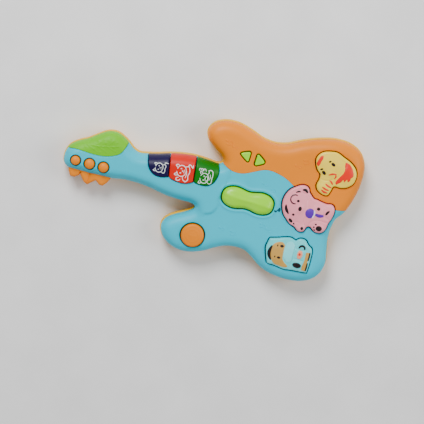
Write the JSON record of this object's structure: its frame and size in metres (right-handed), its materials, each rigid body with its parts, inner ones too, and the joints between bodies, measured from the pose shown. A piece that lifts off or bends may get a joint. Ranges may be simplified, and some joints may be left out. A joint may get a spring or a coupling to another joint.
{
  "type": "toy electric guitar",
  "caption": "Toy electric guitar with piano keys on the neck, a strum button and animal buttons on the body, a rear battery door and sound inside",
  "frame": {"origin": "middle of the back, under the centre of the bounding box", "axes": "+X from the head to the tail, +Y towards the orange horn, +Z out of the face"},
  "size_m": [0.3402, 0.1724, 0.0405],
  "materials": {
    "blue_plastic": "satin moulded shell",
    "orange_plastic": "satin moulded shell",
    "amber_plastic": "satin moulded shell",
    "leaf_green_plastic": "glossy moulded inlay",
    "lime_plastic": "glossy moulded button",
    "yellow_plastic": "glossy printed button",
    "pink_plastic": "glossy printed button",
    "sky_plastic": "glossy printed button",
    "navy_plastic": "glossy key",
    "red_plastic": "glossy key",
    "green_plastic": "glossy key",
    "black_plastic": "matte",
    "lamp_plastic": "clear tinted lamp body",
    "board_green": "coated circuit board",
    "dome_rubber": "soft",
    "steel": "zinc plated",
    "magnet": "dark",
    "cone_paper": "pulp cone",
    "cell_sleeve": "plain shrink sleeve",
    "wire_red": "insulated wire",
    "wire_black": "insulated wire",
    "wire_pale": "insulated ribbon"
  },
  "bodies": {
    "root": {"front_shell": "blue_plastic", "upper_front_cover": "orange_plastic", "rear_shell": "amber_plastic", "head_panel": "leaf_green_plastic", "tuner_comb": "orange_plastic", "main_board": "board_green", "key_board": "board_green", "horn_board": "board_green", "led_left": "lamp_plastic", "led_right": "lamp_plastic", "speaker_basket": "steel", "speaker_magnet": "magnet", "speaker_cone": "cone_paper", "slide_switch": "steel", "contact_plus": "steel", "contact_minus": "steel", "contact_bridge_left": "steel", "contact_bridge_right": "steel", "wire_speaker": "wire_red", "wire_battery": "wire_black", "wire_keys": "wire_pale", "wire_horn": "wire_pale", "battery_1": "cell_sleeve", "battery_2": "cell_sleeve", "battery_3": "cell_sleeve", "case_screw_1": "steel", "case_screw_2": "steel", "case_screw_3": "steel", "case_screw_4": "steel", "case_screw_5": "steel", "case_screw_6": "steel", "case_screw_7": "steel", "case_screw_8": "steel", "case_screw_9": "steel", "case_screw_10": "steel", "chick_button_dome": "dome_rubber", "bear_button_dome": "dome_rubber", "puppy_button_dome": "dome_rubber", "strum_button_dome": "dome_rubber", "round_button_dome": "dome_rubber", "triangle_button_left_dome": "dome_rubber", "triangle_button_right_dome": "dome_rubber", "key_1_dome": "dome_rubber", "key_2_dome": "dome_rubber", "key_3_dome": "dome_rubber"},
    "chick_button": {"chick_button": "yellow_plastic"},
    "bear_button": {"bear_button": "pink_plastic"},
    "puppy_button": {"puppy_button": "sky_plastic"},
    "strum_button": {"strum_button": "lime_plastic"},
    "round_button": {"round_button": "orange_plastic"},
    "triangle_button_left": {"triangle_button_left": "lime_plastic"},
    "triangle_button_right": {"triangle_button_right": "lime_plastic"},
    "key_1": {"key_1": "navy_plastic"},
    "key_2": {"key_2": "red_plastic"},
    "key_3": {"key_3": "green_plastic"},
    "power_slider": {"power_slider": "black_plastic"},
    "battery_door": {"battery_door": "amber_plastic"},
    "door_screw": {"door_screw": "steel"}
  },
  "joints": [
    {"name": "chick_button_press", "type": "slide", "parent": "root", "child": "chick_button", "axis": [0, 0, -1], "range_m": [0, 0.0018], "stiffness_N_per_m": 400, "springref_m": -0.002, "deforming": ["chick_button_dome"]},
    {"name": "bear_button_press", "type": "slide", "parent": "root", "child": "bear_button", "axis": [0, 0, -1], "range_m": [0, 0.0018], "stiffness_N_per_m": 400, "springref_m": -0.002, "deforming": ["bear_button_dome"]},
    {"name": "puppy_button_press", "type": "slide", "parent": "root", "child": "puppy_button", "axis": [0, 0, -1], "range_m": [0, 0.0018], "stiffness_N_per_m": 400, "springref_m": -0.002, "deforming": ["puppy_button_dome"]},
    {"name": "strum_button_press", "type": "slide", "parent": "root", "child": "strum_button", "axis": [0, 0, -1], "range_m": [0, 0.002], "stiffness_N_per_m": 400, "springref_m": -0.002, "deforming": ["strum_button_dome"]},
    {"name": "round_button_press", "type": "slide", "parent": "root", "child": "round_button", "axis": [0, 0, -1], "range_m": [0, 0.002], "stiffness_N_per_m": 400, "springref_m": -0.002, "deforming": ["round_button_dome"]},
    {"name": "triangle_button_left_press", "type": "slide", "parent": "root", "child": "triangle_button_left", "axis": [0, 0, -1], "range_m": [0, 0.0012], "stiffness_N_per_m": 400, "springref_m": -0.002, "deforming": ["triangle_button_left_dome"]},
    {"name": "triangle_button_right_press", "type": "slide", "parent": "root", "child": "triangle_button_right", "axis": [0, 0, -1], "range_m": [0, 0.0012], "stiffness_N_per_m": 400, "springref_m": -0.002, "deforming": ["triangle_button_right_dome"]},
    {"name": "key_1_press", "type": "hinge", "parent": "root", "child": "key_1", "pos_m": [-0.0627, 0.0159, 0.034], "axis": [0.9748, 0.223, 0], "range_deg": [0, 4], "stiffness_Nm_per_rad": 0.3, "springref_deg": -5.73, "deforming": ["key_1_dome"]},
    {"name": "key_2_press", "type": "hinge", "parent": "root", "child": "key_2", "pos_m": [-0.0353, 0.0208, 0.034], "axis": [0.9927, 0.1203, 0], "range_deg": [0, 4], "stiffness_Nm_per_rad": 0.3, "springref_deg": -5.73, "deforming": ["key_2_dome"]},
    {"name": "key_3_press", "type": "hinge", "parent": "root", "child": "key_3", "pos_m": [-0.0082, 0.02195, 0.034], "axis": [0.9996, -0.0275, 0], "range_deg": [0, 4], "stiffness_Nm_per_rad": 0.3, "springref_deg": -5.73, "deforming": ["key_3_dome"]},
    {"name": "power_slide", "type": "slide", "parent": "root", "child": "power_slider", "axis": [1, 0, 0], "range_m": [0, 0.006]},
    {"name": "battery_door_swing", "type": "hinge", "parent": "root", "child": "battery_door", "pos_m": [0.142, -0.04325, 0.0003], "axis": [0, -1, 0], "range_deg": [0, 95]},
    {"name": "door_screw_turn", "type": "hinge", "parent": "battery_door", "child": "door_screw", "pos_m": [0.0761, -0.0435, 0.002], "axis": [0, 0, 1], "continuous": true}
  ]
}
